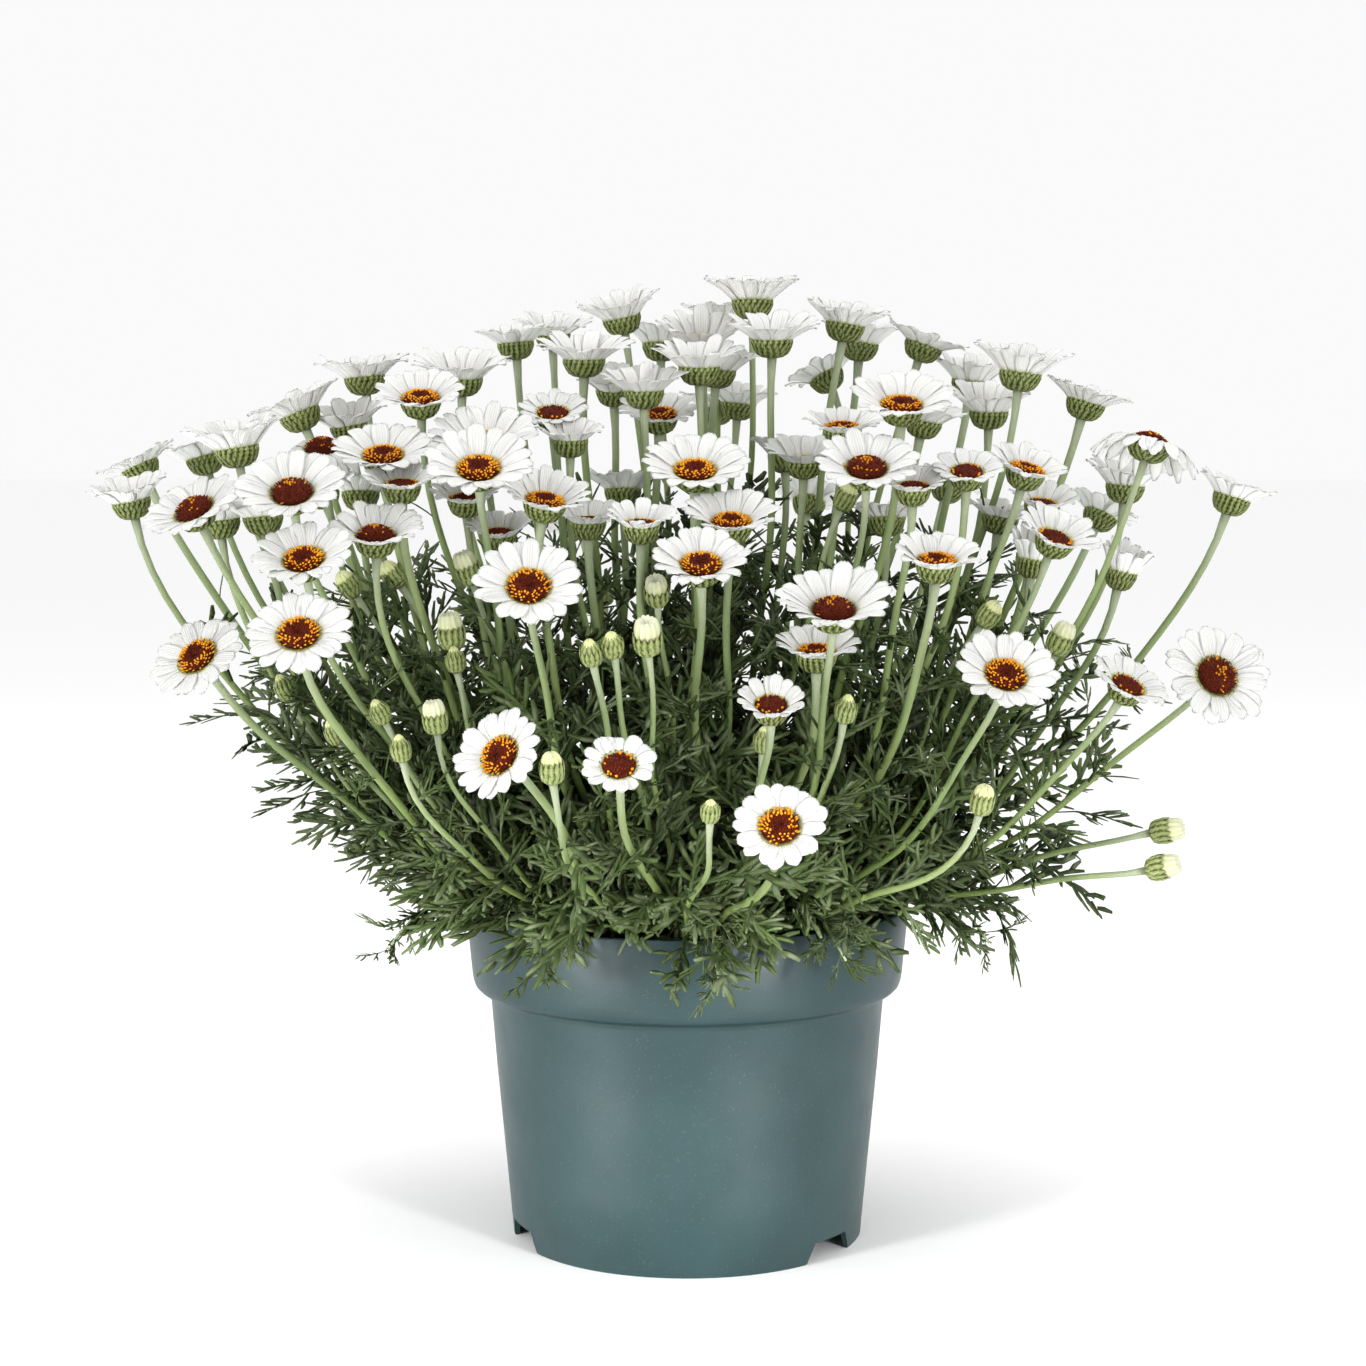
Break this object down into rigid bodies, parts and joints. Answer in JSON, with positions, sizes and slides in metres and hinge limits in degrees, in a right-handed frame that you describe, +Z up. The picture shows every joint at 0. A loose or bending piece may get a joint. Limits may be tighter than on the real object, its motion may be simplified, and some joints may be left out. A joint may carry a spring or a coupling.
{
  "type": "potted moroccan daisy",
  "caption": "Bushy moroccan daisy in a round plastic nursery pot: white-rayed flowers with dark, orange-edged discs on tall stalks above finely cut grey-green leaves",
  "frame": {"origin": "on the ground under the middle of the pot", "axes": "+X to the viewer's right, -Y to the front, +Z up; the plant is widest along X"},
  "size_m": [0.5097, 0.4003, 0.4118],
  "materials": {
    "pot": "satin",
    "soil": "matt, crumbly",
    "stalk": "velvety",
    "leaf": "velvety",
    "cup": "matt, hairy",
    "ray": "soft matt",
    "disc": "matt, granular"
  },
  "bodies": {
    "root": {"pot": "pot", "soil": "soil", "outer_branch_1": "stalk", "outer_branch_2": "stalk", "outer_branch_3": "stalk", "outer_branch_4": "stalk", "outer_branch_5": "stalk", "outer_branch_6": "stalk", "outer_branch_7": "stalk", "outer_branch_8": "stalk", "outer_branch_9": "stalk", "outer_branch_10": "stalk", "outer_branch_11": "stalk", "outer_branch_12": "stalk", "outer_branch_13": "stalk", "outer_branch_14": "stalk", "inner_branch_1": "stalk", "inner_branch_2": "stalk", "inner_branch_3": "stalk", "inner_branch_4": "stalk", "inner_branch_5": "stalk", "inner_branch_6": "stalk", "inner_branch_7": "stalk"}
  },
  "joints": []
}
